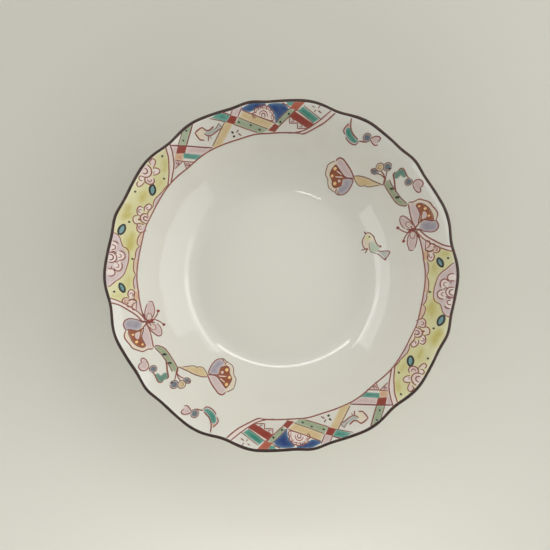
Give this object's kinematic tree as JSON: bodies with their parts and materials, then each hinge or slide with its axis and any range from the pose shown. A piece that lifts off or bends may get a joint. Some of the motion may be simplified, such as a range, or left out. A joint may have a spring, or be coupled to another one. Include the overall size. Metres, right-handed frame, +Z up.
{
  "type": "serving bowl",
  "caption": "Lobed round porcelain serving bowl with a flat well, flared wall, bracketed rim, brown lip, foot ring and painted enamel border.",
  "frame": {"origin": "centre of the foot's standing face, on the bowl's axis, at the bowl's lowest point", "axes": "+Z up along the bowl's axis, out of its mouth; +X to the blossom panel on the right and +Y to the lattice panel at the back, as seen from above"},
  "size_m": [0.1816, 0.1802, 0.0511],
  "materials": {
    "clear_glazed_porcelain": "gloss",
    "foot_porcelain": "satin",
    "iron_brown_glaze": "gloss",
    "white_ground_enamel": "gloss",
    "yellow_ground_enamel": "gloss",
    "lilac_enamel": "gloss",
    "flower_enamel": "gloss",
    "jade_enamel": "gloss",
    "pale_green_enamel": "gloss"
  },
  "bodies": {
    "root": {"porcelain_body": "clear_glazed_porcelain", "foot_ring": "foot_porcelain", "lip_band": "iron_brown_glaze", "lattice_panel_back": "white_ground_enamel", "lattice_panel_front": "white_ground_enamel", "blossom_panel_right": "yellow_ground_enamel", "blossom_panel_left": "yellow_ground_enamel", "butterfly_right": "lilac_enamel", "butterfly_left": "lilac_enamel", "flower_spray_right": "flower_enamel", "flower_spray_left": "flower_enamel", "bud_sprig_back": "jade_enamel", "bud_sprig_front": "jade_enamel", "bird": "pale_green_enamel"}
  },
  "joints": []
}
